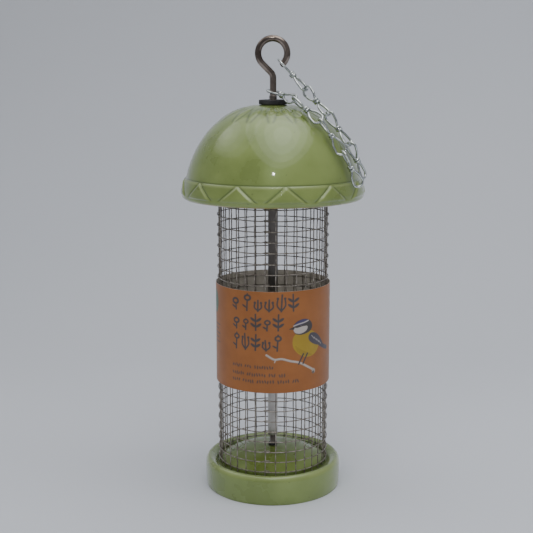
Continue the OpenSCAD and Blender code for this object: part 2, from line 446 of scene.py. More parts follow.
def green_glaze():
    """Olive glaze: darker where it pools in the relief, with painted shade there too; paler on edges,
    where it runs thin and a highlight is painted; brown at the rim.
    """
    f = Finish("green_glaze", Roughness=0.2, IOR=1.5, Coat_Weight=1.0, Coat_Roughness=0.055,
               Coat_IOR=1.52, Specular_Tint=(0.72, 1.0, 0.62, 1.0))
    cloud = f.effect(CLOUDY, Light=(0.188, 0.243, 0.066), Dark=(0.132, 0.174, 0.038), Size=34.0)
    # Pooled glaze and painted shade: darker green in the roof's grooves, beside the petals, under the
    # crown's ledge and in the dish's groove by the mesh.
    glaze_pool_and_shade = f.mask("glaze_pool_and_shade")
    # Thin glaze and painted highlight: paler green on the triangles' edges and on the roof's and dish's
    # shoulders.
    thin_glaze_and_highlight = f.mask("thin_glaze_and_highlight")
    rim = f.mask("rim")
    colour = f.w.mix(f.w.math("MULTIPLY", glaze_pool_and_shade, 0.85), cloud["Colour"], (0.066, 0.094, 0.018))
    colour = f.w.mix(f.w.math("MULTIPLY", thin_glaze_and_highlight, 0.6), colour, (0.300, 0.345, 0.150))
    edge_noise = f.w.noise(f.place(), 260.0, 3.0)
    brown = f.w.math("MULTIPLY", rim, f.w.ramp(edge_noise, 0.25, 0.6))
    colour = f.w.mix(brown, colour, (0.36, 0.26, 0.075))
    speck = f.effect(SPECKS, Size=420.0, Share=0.035)["Speck"]
    colour = f.w.mix(f.w.math("MULTIPLY", speck, 0.45), colour, (0.07, 0.075, 0.02))
    f.feed("Base Color", colour)
    f.vary("Coat Weight", f.mask("matt"), 1.0, 0.25)
    f.vary("Roughness", cloud["Cloud"], 0.24, 0.38)
    ripple = f.w.noise(f.place(), 95.0, 2.0)
    peel = f.w.noise(f.place(), 700.0, 2.0)
    f.bumps((ripple, 0.10, 0.0006), (peel, 0.05, 0.0001))
    return f.material


def mesh_wire():
    """Dull grey-brown welded wire with darker weld scale and faint bright rubs."""
    f = Finish("mesh_wire", Metallic=0.4, Roughness=0.5)
    cloud = f.effect(CLOUDY, Light=(0.330, 0.300, 0.262), Dark=(0.150, 0.126, 0.104), Size=330.0)
    speck = f.effect(SPECKS, Size=1500.0, Share=0.12)["Speck"]
    colour = f.w.mix(f.w.math("MULTIPLY", speck, 0.6), cloud["Colour"], (0.40, 0.38, 0.35))
    weld = f.mask("weld")
    colour = f.w.mix(f.w.math("MULTIPLY", weld, 0.7), colour, (0.075, 0.058, 0.046))
    f.feed("Base Color", colour)
    f.vary("Roughness", cloud["Cloud"], 0.52, 0.30)
    f.bumps((f.w.noise(f.place(), 2600.0, 3.0), 0.35, 0.00006))
    return f.material


def drawn_steel(name, light, dark, rough, streak_along=30.0, **extra):
    """Drawn or rolled steel with fine lengthwise streaks, cloudy oxide, and a dark brown mask for tarnish
    and painted shade.
    """
    f = Finish(name, Metallic=1.0, Roughness=rough[0], **extra)
    streak = f.effect(STREAKS, Across=2200.0, Along=streak_along)["Streak"]
    cloud = f.effect(CLOUDY, Light=light, Dark=dark, Size=90.0)
    worn = f.effect(WORN, Reach=0.7)["Worn"]
    colour = f.w.mix(f.w.math("MULTIPLY", streak, 0.35), cloud["Colour"], dark)
    colour = f.w.mix(worn, colour, tuple(min(1.0, 1.35 * c) for c in light))
    # Dark brown where the mask is set: tarnish, and painted shade under the roof on the tube.
    colour = f.w.mix(f.mask("tarnish_and_shade"), colour, (0.085, 0.072, 0.062))
    f.feed("Base Color", colour)
    f.vary("Roughness", streak, *rough)
    f.bumps((streak, 0.12, 0.00003))
    return f.material


def bright_zinc():
    """Zinc plated chain wire: bright, slightly blue, with dull spots and spangle."""
    f = Finish("bright_zinc", Metallic=1.0, Roughness=0.2)
    cloud = f.effect(CLOUDY, Light=(0.70, 0.735, 0.71), Dark=(0.40, 0.43, 0.42), Size=420.0)
    speck = f.effect(SPECKS, Size=1300.0, Share=0.1)["Speck"]
    colour = f.w.mix(f.w.math("MULTIPLY", speck, 0.5), cloud["Colour"], (0.30, 0.31, 0.30))
    f.feed("Base Color", colour)
    f.vary("Roughness", cloud["Cloud"], 0.26, 0.10)
    f.bumps((f.w.noise(f.place(), 1800.0, 2.0), 0.15, 0.00005))
    return f.material


def black_rubber():
    """Moulded rubber with a dusty bloom and a fine matt grain."""
    f = Finish("black_rubber", Roughness=0.6, Specular_IOR_Level=0.4)
    cloud = f.effect(CLOUDY, Light=(0.034, 0.034, 0.037), Dark=(0.014, 0.014, 0.016), Size=180.0)
    dust = f.effect(SPECKS, Size=2600.0, Share=0.12)["Speck"]
    worn = f.effect(WORN, Reach=0.8)["Worn"]
    colour = f.w.mix(f.w.math("MULTIPLY", dust, 0.4), cloud["Colour"], (0.13, 0.125, 0.12))
    colour = f.w.mix(f.w.math("MULTIPLY", worn, 0.5), colour, (0.10, 0.10, 0.105))
    f.feed("Base Color", colour)
    f.vary("Roughness", cloud["Cloud"], 0.75, 0.5)
    f.bumps((f.w.noise(f.place(), 3200.0, 3.0), 0.3, 0.00008))
    return f.material


def paper_fibres(f):
    """Height of fine crossed paper fibres."""
    place = f.place()
    long_grain = f.w.add("ShaderNodeMapping")
    long_grain.inputs["Scale"].default_value = (2600.0, 2600.0, 500.0)
    f.w.join(place, long_grain.inputs["Vector"])
    fibres = f.w.noise(long_grain.outputs[0], 1.0, 3.0, 0.65)
    return f.w.math("ADD", fibres, f.w.math("MULTIPLY", f.w.noise(place, 240.0, 2.0), 0.5))


def card_board(name, light, dark):
    """Bare grey-brown pulp board, with flecks."""
    f = Finish(name, Roughness=0.8, Specular_IOR_Level=0.3)
    cloud = f.effect(CLOUDY, Light=light, Dark=dark, Size=260.0)
    fleck = f.effect(SPECKS, Size=1700.0, Share=0.14)["Speck"]
    colour = f.w.mix(f.w.math("MULTIPLY", fleck, 0.35), cloud["Colour"],
                     tuple(0.5 * c for c in dark))
    f.feed("Base Color", colour)
    f.vary("Roughness", cloud["Cloud"], 0.9, 0.7)
    f.bumps((paper_fibres(f), 0.3, 0.00005))
    return f.material


def printed_card():
    """Litho print read from the colours laid on the card, with fibres under a satin varnish."""
    f = Finish("printed_card", Roughness=0.42, Specular_IOR_Level=0.3, Coat_Weight=0.2,
               Coat_Roughness=0.22)
    ink = f.w.add("ShaderNodeAttribute", attribute_name="ink").outputs["Color"]
    cloud = f.effect(CLOUDY, Light=(1.0, 1.0, 1.0), Dark=(0.86, 0.84, 0.82), Size=75.0)
    fibres = paper_fibres(f)
    toned = f.w.mix(1.0, ink, cloud["Colour"], "MULTIPLY")
    colour = f.w.mix(f.w.math("MULTIPLY", fibres, 0.12), toned, (0.20, 0.10, 0.05))
    f.feed("Base Color", colour)
    f.vary("Roughness", fibres, 0.34, 0.5)
    f.bumps((fibres, 0.10, 0.00004))
    return f.material


GLAZE = green_glaze()
MESH_WIRE = mesh_wire()
TUBE_STEEL = drawn_steel("tube_steel", (0.56, 0.54, 0.51), (0.34, 0.32, 0.30), (0.26, 0.40))
SCREW_STEEL = drawn_steel("screw_steel", (0.62, 0.62, 0.60), (0.40, 0.39, 0.37), (0.24, 0.40))
NECK_STEEL = drawn_steel("thread_steel", (0.34, 0.31, 0.28), (0.12, 0.10, 0.09), (0.30, 0.5))
EYE_STEEL = drawn_steel("dark_polished_steel", (0.33, 0.275, 0.235), (0.105, 0.082, 0.068),
                        (0.09, 0.20), 60.0)
ZINC = bright_zinc()
RUBBER = black_rubber()
CARD_BACK = card_board("grey_board", (0.50, 0.46, 0.40), (0.40, 0.365, 0.315))
PRINTED = printed_card()


# ---------------------------------------------------------------- bell roof

CROWN_R = 52.5
CROWN_BASE_Z = 188.5
CROWN_H = ROOF_TOP_Z - CROWN_BASE_Z
CROWN_POWER, CROWN_ROOT = 2.6, 0.65
SHELL_T = 4.5
INNER_R = CROWN_R - SHELL_T
INNER_H = CROWN_H - SHELL_T - 1
BAND_TOP = (53.2, 192.2)
BAND_LOW = (54.7, 185.0)
LIP_ROUND = 2.2
ROOF_HOLE_R = 3.2
WASHER_SEAT_R = 9
TRIANGLES = 12
TRIANGLE_HALF_ANGLE = math.radians(10.8)
TRIANGLE_Z = (RIM_Z + 3.4, 192.0)
TRIANGLE_RELIEF = 0.72
TRIANGLE_GROOVE = 0.38
PETALS = 16
PETAL_RELIEF = 0.36
PETAL_RIB = 0.08


def crown_z(r, radius=CROWN_R, height=CROWN_H):
    drop = np.maximum(0, 1 - (np.minimum(r, radius) / radius) ** CROWN_POWER)
    return CROWN_BASE_Z + height * drop ** CROWN_ROOT


def wrapped(angle):
    """Angle brought into -pi..pi."""
    return (angle + math.pi) % TAU - math.pi


def hand_made_wobble(x, y, z, size, seed):
    """Slow unevenness of a hand-finished clay form, as a few crossed waves."""
    rng = random.Random(seed)
    out = 0.0
    for _ in range(5):
        a, b, c = (rng.uniform(-1, 1) * 0.085 for _ in range(3))
        out = out + np.sin(a * x + b * y + c * z + rng.uniform(0, TAU))
    return size * out / 5


def triangle_relief(angle, z):
    """Height of the raised triangles, with the masks for their darkened grooves (pooled glaze and painted
    shade) and pale edges (thin glaze and a painted highlight).
    """
    step = TAU / TRIANGLES
    across = wrapped((angle / step - 0.25 - np.round(angle / step - 0.25)) * step) * BAND_LOW[0]
    share = (TRIANGLE_Z[1] - z) / (TRIANGLE_Z[1] - TRIANGLE_Z[0])
    half = BAND_LOW[0] * math.tan(TRIANGLE_HALF_ANGLE) * share
    lean = math.atan2(BAND_LOW[0] * math.tan(TRIANGLE_HALF_ANGLE), TRIANGLE_Z[1] - TRIANGLE_Z[0])
    outside = (np.abs(across) - half) * math.cos(lean)
    in_band = soft_step(TRIANGLE_Z[0] - 0.9, TRIANGLE_Z[0] + 0.3, z)
    pad = soft_step(0.3, -1.5, outside) * in_band
    groove = ridge(outside, 0.6, 0.42) * in_band * (z < TRIANGLE_Z[1] + 0.3)
    edge = ridge(outside, -0.7, 0.4) * in_band
    return TRIANGLE_RELIEF * pad - TRIANGLE_GROOVE * groove, groove, 0.6 * edge


def petal_relief(angle, r):
    """Low petals round the top of the crown: height, and where glaze pools beside them, in the mask that
    also carries painted shade.
    """
    height, glaze_pool_and_shade = 0.0, 0.0
    for count, start, r_in, r_out, wide in ((PETALS, -115.0, 10.0, 33.0, 5.2),
                                            (PETALS, -103.7, 9.0, 23.0, 3.4)):
        step = TAU / count
        turn = (angle - math.radians(start)) / step
        across = (turn - np.round(turn)) * step * r
        bend = 1.1 * np.sin(np.round(turn) * 2.4)
        along = np.clip((r - r_in) / (r_out - r_in), 0, 1)
        half = wide * np.sin(math.pi * along ** 0.8) ** 0.75 * 0.5 + 0.01
        outside = np.abs(across + bend * along) - half
        inside_ends = soft_step(r_in, r_in + 2, r) * soft_step(r_out + 0.6, r_out - 1.5, r)
        petal = soft_step(1.0, -2.0, outside) * inside_ends
        rib = ridge(across, -bend * along, 0.7) * inside_ends
        height = np.maximum(height, petal * PETAL_RELIEF - rib * PETAL_RIB)
        beside = ridge(outside, 0.8, 0.85) * inside_ends * soft_step(0.3, 0.75, along)
        glaze_pool_and_shade = np.maximum(glaze_pool_and_shade, beside)
    return height, glaze_pool_and_shade


def roof_outline():
    """Outline of the bell in half section: up the hole, over the crown, round the lip, back up
    inside. The second list says how much of the outside shaping each point takes."""
    under_top = ROOF_TOP_Z - SHELL_T - 1
    hole = [(ROOF_HOLE_R, under_top), (ROOF_HOLE_R, ROOF_TOP_Z - 0.7),
            (ROOF_HOLE_R + 0.2, ROOF_TOP_Z - 0.2), (ROOF_HOLE_R + 0.8, ROOF_TOP_Z)]
    hole = resample(hole, 0.8)
    brow_r, brow_reach = 44, 8.05
    brow = brow_r + brow_reach * np.sin(np.linspace(0.03, 1, 40) * math.pi / 2)
    r = np.concatenate([np.linspace(4.8, brow_r, 76), brow])
    crown = np.stack([r, crown_z(r)], axis=1)
    keep = crown[:, 1] > BAND_TOP[1] + 0.9
    crown = resample(crown[keep], 0.55)
    last = crown[-1]
    band_r, band_z = BAND_TOP
    band_start = (band_r + 0.1, band_z - 0.7)
    ledge = round_corners([last, (last[0] + 0.1, band_z + 0.5), (last[0] + 0.25, band_z - 0.1),
                           (band_r - 0.5, band_z + 0.1), band_start], 0.5, 5, closed=False)
    band = resample([band_start, BAND_LOW, (BAND_LOW[0], RIM_Z + LIP_ROUND)], 0.3)
    lip_r = BAND_LOW[0] - LIP_ROUND
    lip = [(lip_r + LIP_ROUND * math.cos(a), RIM_Z + LIP_ROUND - LIP_ROUND * math.sin(a))
           for a in np.linspace(0.15, math.pi, 14)]
    inner_r = np.linspace(INNER_R - 0.01, 7, 40)
    inside = [(INNER_R + 1.2, RIM_Z + 5), (INNER_R + 0.3, CROWN_BASE_Z - 2)]
    inside += [(q, float(crown_z(q, INNER_R, INNER_H))) for q in inner_r]
    inside += [(6.5, under_top)]
    parts = [hole, crown, ledge[1:-1], band, np.array(lip), np.array(inside)]
    shaped = [0.0] * len(hole) + [1.0] * (len(crown) + len(ledge) - 2 + len(band))
    shaped += list(np.linspace(1, 0, len(lip))) + [0.0] * len(inside)
    return np.concatenate(parts), np.array(shaped)


def outline_normals(outline):
    """Outward direction at each point of an outline that goes round its solid clockwise."""
    run = np.roll(outline, -1, axis=0) - np.roll(outline, 1, axis=0)
    normal = np.stack([-run[:, 1], run[:, 0]], axis=1)
    return normal / np.maximum(np.linalg.norm(normal, axis=1), 1e-9)[:, None]


def make_roof():
    outline, shaped = roof_outline()
    turns = 620
    angle = np.arange(turns)[None, :] * TAU / turns
    r, z = outline[:, 0][:, None], outline[:, 1][:, None]
    take = shaped[:, None]
    on_band = soft_step(BAND_TOP[1] + 0.2, BAND_TOP[1] - 0.4, z)
    pad, groove, edge = triangle_relief(angle, z + 0 * angle)
    petal, beside = petal_relief(angle, r + 0 * angle)
    on_crown = (z > BAND_TOP[1] + 1) * 1.0
    height = take * (on_band * pad + on_crown * petal)
    x0, y0 = r * np.cos(angle), r * np.sin(angle)
    height = height + take * soft_step(9, 16, r) * hand_made_wobble(x0, y0, z + 0 * angle, 0.22, 3)
    height = np.minimum(height, TRIANGLE_RELIEF)
    normal = outline_normals(outline)
    r_out = r + normal[:, 0][:, None] * height
    z_out = z + normal[:, 1][:, None] * height
    z_out = np.where(r < WASHER_SEAT_R, np.minimum(z_out, ROOF_TOP_Z), z_out)
    points = np.stack([r_out * np.cos(angle), r_out * np.sin(angle), z_out], axis=-1).reshape(-1, 3)
    roof = new_piece("bell_roof", points, grid_faces(len(outline), turns, closed_rows=True),
                     "roof", "green_glaze", ["roof_dome"], GLAZE)
    # Darkened mask: pooled glaze and painted shade in the triangles' grooves, beside the petals and on the
    # ledge under the crown.
    ledge = ridge(z, BAND_TOP[1] + 0.35, 0.45) + 0 * angle
    glaze_pool_and_shade = take * np.maximum(np.maximum(on_band * groove, on_crown * beside), 0.9 * ledge)
    # Painted highlight, partly thin glaze: paler on the triangles' edges and on the shoulder under the
    # ledge.
    shoulder = ridge(z, BAND_TOP[1] - 0.9, 0.5) + 0 * angle
    thin_glaze_and_highlight = take * np.maximum(on_band * edge, 0.7 * shoulder)
    lip_line = soft_step(RIM_Z + 1.1, RIM_Z + 0.2, z) * soft_step(BAND_LOW[0] - 4.2, BAND_LOW[0] - 3, r)
    set_mask(roof, "glaze_pool_and_shade", glaze_pool_and_shade.ravel())
    set_mask(roof, "thin_glaze_and_highlight", np.clip(thin_glaze_and_highlight, 0, 1).ravel())
    set_mask(roof, "rim", (lip_line + 0 * angle).ravel())


make_roof()


# ---------------------------------------------------------------- glazed dish

def dish_outline():
    """Half section of the dish: foot, rounded wall, crest, groove for the mesh, domed floor."""
    foot_in, foot_out = 33.0, DISH_R - 0.75
    crest_in, crest_z, groove_z, floor_z = 34.4, 15.7, 14.6, 16.5
    wall = smooth_path([(foot_out, 0.35), (DISH_R - 0.4, 1.5), (DISH_R - 0.1, 5.0), (DISH_R, 9.5),
                        (DISH_R - 0.1, 13.4), (DISH_R - 0.5, 15.6), (DISH_R - 1.5, 17.2),
                        (DISH_R - 2.9, 17.7), (DISH_R - 5.0, 17.0), (crest_in + 0.25, crest_z)], 9)
    groove = round_corners([(crest_in + 0.25, crest_z), (crest_in, groove_z), (32.3, groove_z),
                            (32.2, 16.3), (31.2, 16.9)], 0.4, 4, closed=False)
    a = np.linspace(math.radians(72), math.radians(13), 50)
    floor_points = np.stack([6 + 26 * np.sin(a), floor_z + (BOSS_Z - floor_z) * np.cos(a) ** 2], axis=1)
    boss = [(6.0, BOSS_Z - 0.2), (5.4, BOSS_Z), (2.7, BOSS_Z), (2.3, BOSS_Z - 0.4), (2.3, 17.9),
            (2.7, 17.5), (9.7, 17.5)]
    under = smooth_path([(9.7, 17.5), (20, 13.6), (30.6, 10.4), (32.7, 8.2), (foot_in, 4.0)], 8)
    foot = round_corners([(foot_in, 4.0), (foot_in, 0.0), (foot_out, 0.0), (foot_out + 0.25, 0.6)], 0.3, 5,
                         closed=False)
    return np.concatenate([wall, groove[1:-1], floor_points, boss[:-1], under, foot[1:-1]])


def make_dish():
    outline = dish_outline()
    turns = 360
    points, faces = lathe(outline, turns)
    r = np.hypot(points[:, 0], points[:, 1])
    z = points[:, 2]
    outer = soft_step(35.3, 38.0, r) * soft_step(0.5, 3, z)
    wobble = hand_made_wobble(points[:, 0], points[:, 1], z, 0.25, 8) * outer
    swell = 1 + np.minimum(wobble - 0.12, 0.0) / np.maximum(r, 1)
    points[:, 0] *= swell
    points[:, 1] *= swell
    dish = new_piece("glazed_dish", points, faces, "base_and_tube", "green_glaze", ["base_dish"], GLAZE)
    on_top = z > 12
    # Painted shade, partly pooled glaze: the top of the dish darkens into the groove by the mesh.
    in_groove = soft_step(37.6, 34.6, r) * soft_step(31, 32, r) * on_top
    # Painted highlight, partly thin glaze: a pale ring on the dish's shoulder.
    shoulder = ridge(r, DISH_R - 1.2, 0.7) * (z > 15)
    set_mask(dish, "glaze_pool_and_shade", np.clip(0.8 * in_groove, 0, 1))
    set_mask(dish, "thin_glaze_and_highlight", np.clip(0.7 * shoulder, 0, 1))
    set_mask(dish, "rim", soft_step(0.12, 0.02, z))
    set_mask(dish, "matt", soft_step(38.5, 33.5, r) * on_top)


make_dish()


# ---------------------------------------------------------------- screw stack and tube

def threaded_rod(radius, pitch, depth, z0, z1):
    """Round rod with a true helical thread, run out at both ends."""
    turns, steps_per_pitch = 40, 8
    z = np.arange(z0, z1, pitch / steps_per_pitch)
    angle = np.arange(turns) * TAU / turns
    phase = (z[:, None] / pitch - angle[None, :] / TAU) % 1
    cut = depth * (1 - np.abs(2 * phase - 1))
    runout = np.minimum(1, np.minimum(z - z0, z1 - z) / pitch)[:, None]
    r = radius - cut - 0.5 * depth * (1 - runout)
    points = np.stack([r * np.cos(angle), r * np.sin(angle), z[:, None] + 0 * r], axis=-1)
    faces = grid_faces(len(z), turns)
    faces.append(tuple(range(turns)))
    faces.append(tuple(reversed(range((len(z) - 1) * turns, len(z) * turns))))
    return points.reshape(-1, 3), [tuple(reversed(f)) for f in faces]


def make_ring(name, node, r_in, r_out, round_off, slot, material, belly):
    """Washer or gasket with rounded edges; belly lets soft rubber bulge a little."""
    z0, z1 = low(node)[2], high(node)[2]
    middle = (z0 + z1) / 2
    outline = round_corners([(r_in, z0), (r_out, z0), (r_out + belly, middle), (r_out, z1), (r_in, z1)],
                            round_off, 5)
    points, faces = lathe(outline, 96)
    new_piece(name, points, faces, "base_and_tube", slot, [node], material)


def make_screw():
    """Pan head machine screw with a cross recess, pressed from below through the dish."""
    head_low, head_high = low("base_screw")[2], low("base_screw_washer")[2]
    head_r = high("base_screw")[0]
    crown_reach, crown_rise = 1.1, 1.4
    head = [(0.01, head_low)]
    head += [(head_r - crown_reach * (1 - math.sin(a)), head_low + crown_rise * (1 - math.cos(a)))
             for a in np.linspace(0, math.pi / 2, 8)]
    head += [(head_r, head_high - 0.15), (head_r - 0.15, head_high), (0.01, head_high)]
    points, faces = lathe(head, 72)
    screw = new_piece("dish_screw_head", points, faces, "base_and_tube", "screw_steel",
                      ["base_screw"], SCREW_STEEL)
    arm, deep = head_r * 0.55, 1.5
    cross = [(arm, 0.45), (0.55, 0.55), (0.45, arm)]
    quarter_turns = ((1, 0), (0, 1), (-1, 0), (0, -1))
    plan = [(x * c - y * s, x * s + y * c) for c, s in quarter_turns for x, y in cross]
    bottom = [(x, y, head_low - 0.5) for x, y in plan]
    top = [(0.5 * x, 0.5 * y, head_low + deep) for x, y in plan]
    count = len(plan)
    walls = [(i, (i + 1) % count, count + (i + 1) % count, count + i) for i in range(count)]
    mesh = bpy.data.meshes.new("recess")
    mesh.from_pydata([tuple(np.array(p) * MM) for p in bottom + top], [],
                     walls + [tuple(reversed(range(count))), tuple(range(count, 2 * count))])
    cutter = bpy.data.objects.new("recess", mesh)
    bpy.context.collection.objects.link(cutter)
    cut = screw.modifiers.new("recess", "BOOLEAN")
    cut.operation = "DIFFERENCE"
    cut.object = cutter
    view = bpy.context.evaluated_depsgraph_get()
    screw.data = bpy.data.meshes.new_from_object(screw.evaluated_get(view))
    screw.modifiers.clear()
    bpy.data.objects.remove(cutter)
    screw.data.set_sharp_from_angle(angle=math.radians(35))
    shaft_points, shaft_faces = threaded_rod(1.99, 0.7, 0.38, head_high - 0.2, high("base_screw")[2])
    new_piece("dish_screw_thread", shaft_points, shaft_faces, "base_and_tube", "screw_steel",
              material=NECK_STEEL)


def make_tube():
    """Drawn tube with a socket for the eye bolt in its top, darkened above the card sleeve as tarnish and
    as painted shade under the roof.
    """
    z0, z1 = TUBE_Z
    bore, socket, socket_depth, ring_spacing = 2.03, 2.56, 17, 4
    socket_z = z1 - socket_depth
    outline = round_corners([(TUBE_R, z0), (TUBE_R, z1), (socket, z1), (socket, socket_z),
                             (bore, socket_z - 0.6), (bore, z0)], 0.3, 4)
    walls = []
    for i, point in enumerate(outline):
        after = outline[(i + 1) % len(outline)]
        steps = max(1, int(abs(after[1] - point[1]) / ring_spacing))
        walls += [point + (after - point) * k / steps for k in range(steps)]
    points, faces = lathe(np.array(walls), 64)
    tube = new_piece("tie_tube", points, faces, "base_and_tube", "tube_steel", ["centre_tube"], TUBE_STEEL)
    # Painted shade under the roof, partly tarnish: darker brown from the sleeve's top upward.
    set_mask(tube, "tarnish_and_shade", 0.8 * soft_step(112.0, 140.0, points[:, 2]))


make_screw()
make_tube()
make_ring("screw_washer", "base_screw_washer", 2.15, 6.0, 0.22, "screw_steel", SCREW_STEEL, 0.0)
for ring_name, ring_node, ring_r_in, ring_r_out, ring_round in (
        ("dish_gasket", "base_gasket", 2.3, 6.4, 0.35),
        ("seal_ring", "base_seal_ring", 2.05, 2.7, 0.3),
        ("tube_top_washer", "tube_top_washer", 2.7, 5.4, 0.3)):
    make_ring(ring_name, ring_node, ring_r_in, ring_r_out, ring_round, "black_rubber", RUBBER, 0.1)


def make_roof_washer():
    """Rubber-faced washer under the shank, with a raised rim round its top."""
    z0, z1 = low("roof_top_washer")[2], high("roof_top_washer")[2]
    r_in, r_out = 2.56, high("roof_top_washer")[0]
    rim = [(r_out - 0.2, z0), (r_out, z0 + 0.7), (r_out, z1 - 0.1), (r_out - 0.2, z1), (r_out - 0.9, z1)]
    dip = [(r_out - 1.3, z1 - 0.45), (4.4, z1 - 0.5), (4.0, z1 - 0.1)]
    outline = round_corners([(r_in, z0), *rim, *dip, (r_in, z1 - 0.1)], 0.18, 5)
    points, faces = lathe(outline, 120)
    new_piece("roof_washer", points, faces, "top_washer", "black_rubber", ["roof_top_washer"], RUBBER)


make_roof_washer()


# ---------------------------------------------------------------- wire mesh tube

WIRE_R = 0.34
CAD_WIRE_R = 0.45
UPRIGHTS = 33
UPRIGHT_R = 32.85
WIRE_RING_R = high("mesh_rings")[0] - CAD_WIRE_R - 0.1
FIRST_RING_Z = RING_Z[0] + CAD_WIRE_R
MESH_PITCH = 6.35
RINGS = int(round((RING_Z[1] - RING_Z[0] - 2 * CAD_WIRE_R) / MESH_PITCH)) + 1
SEAM_ANGLE = math.radians(-98.0)


def make_uprights():
    """Upright wires, a little uneven, with cropped ends."""
    rng = random.Random(21)
    wires = Bundle()
    weld = []
    z = np.linspace(MESH_Z[0], MESH_Z[1], 130)
    for i in range(UPRIGHTS):
        swing = rng.uniform(0, TAU)
        length = rng.uniform(22, 40)
        angle = TAU * i / UPRIGHTS + 0.0032 * np.sin(z * TAU / length + swing)
        r = UPRIGHT_R + 0.05 * np.sin(z * TAU / (0.7 * length) + 2 * swing)
        top = MESH_Z[1] - rng.uniform(0, 1.0)
        path = np.stack([r * np.cos(angle), r * np.sin(angle), np.minimum(z, top)], axis=1)[z <= top]
        points, faces = tube_along(path, WIRE_R, 8)
        wires.add(points, faces)
        to_ring = (points[:, 2] - FIRST_RING_Z) / MESH_PITCH
        weld.append(ridge((to_ring - np.round(to_ring)) * MESH_PITCH, 0, 0.55))
    piece = wires.piece("mesh_uprights", "base_and_tube", "mesh_wire", ["mesh_uprights"], MESH_WIRE)
    set_mask(piece, "weld", np.concatenate(weld))


def make_rings():
    """Ring wires outside the uprights. Each is cut at the seam, and one end hooks inward."""
    rng = random.Random(5)
    wires = Bundle()
    weld = []
    for i in range(RINGS):
        z0 = FIRST_RING_Z + i * MESH_PITCH
        tilt = rng.uniform(-0.16, 0.16)
        swing = rng.uniform(0, TAU)
        overlap = rng.uniform(0.045, 0.085)
        along = np.linspace(-0.02, TAU + overlap, 230)
        angle = SEAM_ANGLE + along
        closing = soft_step(TAU - 0.07, TAU + 0.01, along)
        nudge = np.cos(angle * UPRIGHTS)
        tucked_in = closing * soft_step(TAU + overlap + 0.2, TAU, along)
        r = WIRE_RING_R - 0.03 + 0.03 * nudge - tucked_in
        z = z0 + tilt * np.sin(angle + swing) + 0.06 * np.sin(5 * angle + swing) + 0.5 * closing
        z = np.clip(z, RING_Z[0] + WIRE_R, RING_Z[1] - WIRE_R + 0.3)
        path = np.stack([r * np.cos(angle), r * np.sin(angle), z], axis=1)
        points, faces = tube_along(path, WIRE_R, 8)
        wires.add(points, faces)
        turn = np.arctan2(points[:, 1], points[:, 0]) / TAU * UPRIGHTS
        weld.append(ridge((turn - np.round(turn)) * TAU / UPRIGHTS * UPRIGHT_R, 0, 0.6))
    piece = wires.piece("mesh_rings", "base_and_tube", "mesh_wire", ["mesh_rings"], MESH_WIRE)
    set_mask(piece, "weld", np.concatenate(weld))


make_uprights()
make_rings()


# ---------------------------------------------------------------- eye bolt

EYE_ROD_R = 1.95
EYE_R = 8.6
EYE_CENTRE = (-0.3, EYE_TOP_Z - EYE_R - EYE_ROD_R)


def make_eye_bolt():
    """Dark polished rod: cut thread below, swan neck and open eye above, rounded free end."""
    thread_low, thread_top = low("eye_bolt")[2], 241.0
    rod_r, eye_r = EYE_ROD_R, EYE_R
    centre = np.array(EYE_CENTRE)
    neck_angle, open_angle = math.radians(225), math.radians(-57)
    bend_r = 5.0
    points, faces = threaded_rod(2.49, 0.8, 0.42, thread_low, thread_top)
    new_piece("eye_bolt_thread", points, faces, "eye_bolt", "dark_steel", material=NECK_STEEL)
    neck_start = centre + eye_r * np.array((math.cos(neck_angle), math.sin(neck_angle)))
    bend_z = neck_start[1] + neck_start[0] - bend_r * math.tan(math.pi / 8)
    turn = np.linspace(0, math.pi / 4, 16)
    shank = [(0.0, z) for z in np.linspace(thread_top - 1.0, bend_z, 14)[:-1]]
    bend = [(bend_r * (math.cos(a) - 1), bend_z + bend_r * math.sin(a)) for a in turn]
    straight = [tuple(np.array(bend[-1]) + (neck_start - bend[-1]) * t) for t in (0.33, 0.66)]
    eye = [tuple(centre + eye_r * np.array((math.cos(a), math.sin(a))))
           for a in np.linspace(neck_angle, open_angle, 110)]
    flat = np.array(shank + bend + straight + eye)
    for _ in range(3):
        flat[1:-1] = 0.5 * flat[1:-1] + 0.25 * (flat[:-2] + flat[2:])
    path = np.stack([flat[:, 0], 0 * flat[:, 0], flat[:, 1]], axis=1)
    radius = np.full(len(path), rod_r)
    radius[:3] = (rod_r - 0.25, rod_r - 0.06, rod_r)
    radius[-4:] = (rod_r - 0.03, rod_r - 0.14, rod_r - 0.4, rod_r - 0.95)
    points, faces = tube_along(path, radius, 28)
    new_piece("eye_bolt_rod", points, faces, "eye_bolt", "dark_steel", ["eye_bolt"], EYE_STEEL)


make_eye_bolt()


# ---------------------------------------------------------------- chain

LINK_WIRE_R = 0.7
LOOP_R = 3.2
KNOT_LENGTH = 3.4
LINK_PLAY = 0.35
EYE_REACH = 3.5
RIGHT_ROLL, FRONT_ROLL = math.radians(-15), math.radians(-45)
STRAND_ENDS = {"link_4": (53.6, -17.0, 193.8), "link_8": (50.0, -28.5, 190.0)}


def unit(v):
    return np.asarray(v, float) / np.linalg.norm(v)


def joint_axis(name):
    return unit(joint_called(name)["axis"])


def end_pivot_axis(point, run, roll):
    """Direction of a link's lower end wire: along the roof, rolled about the chain's run."""
    r = math.hypot(point[0], point[1])
    near = min(r, CROWN_R - 4)
    slope = float(crown_z(near - 0.5) - crown_z(near + 0.5))
    out = unit((point[0] / r * slope, point[1] / r * slope, 1))
    along = unit(np.cross(run, out))
    return unit(math.cos(roll) * along + math.sin(roll) * np.cross(along, run))


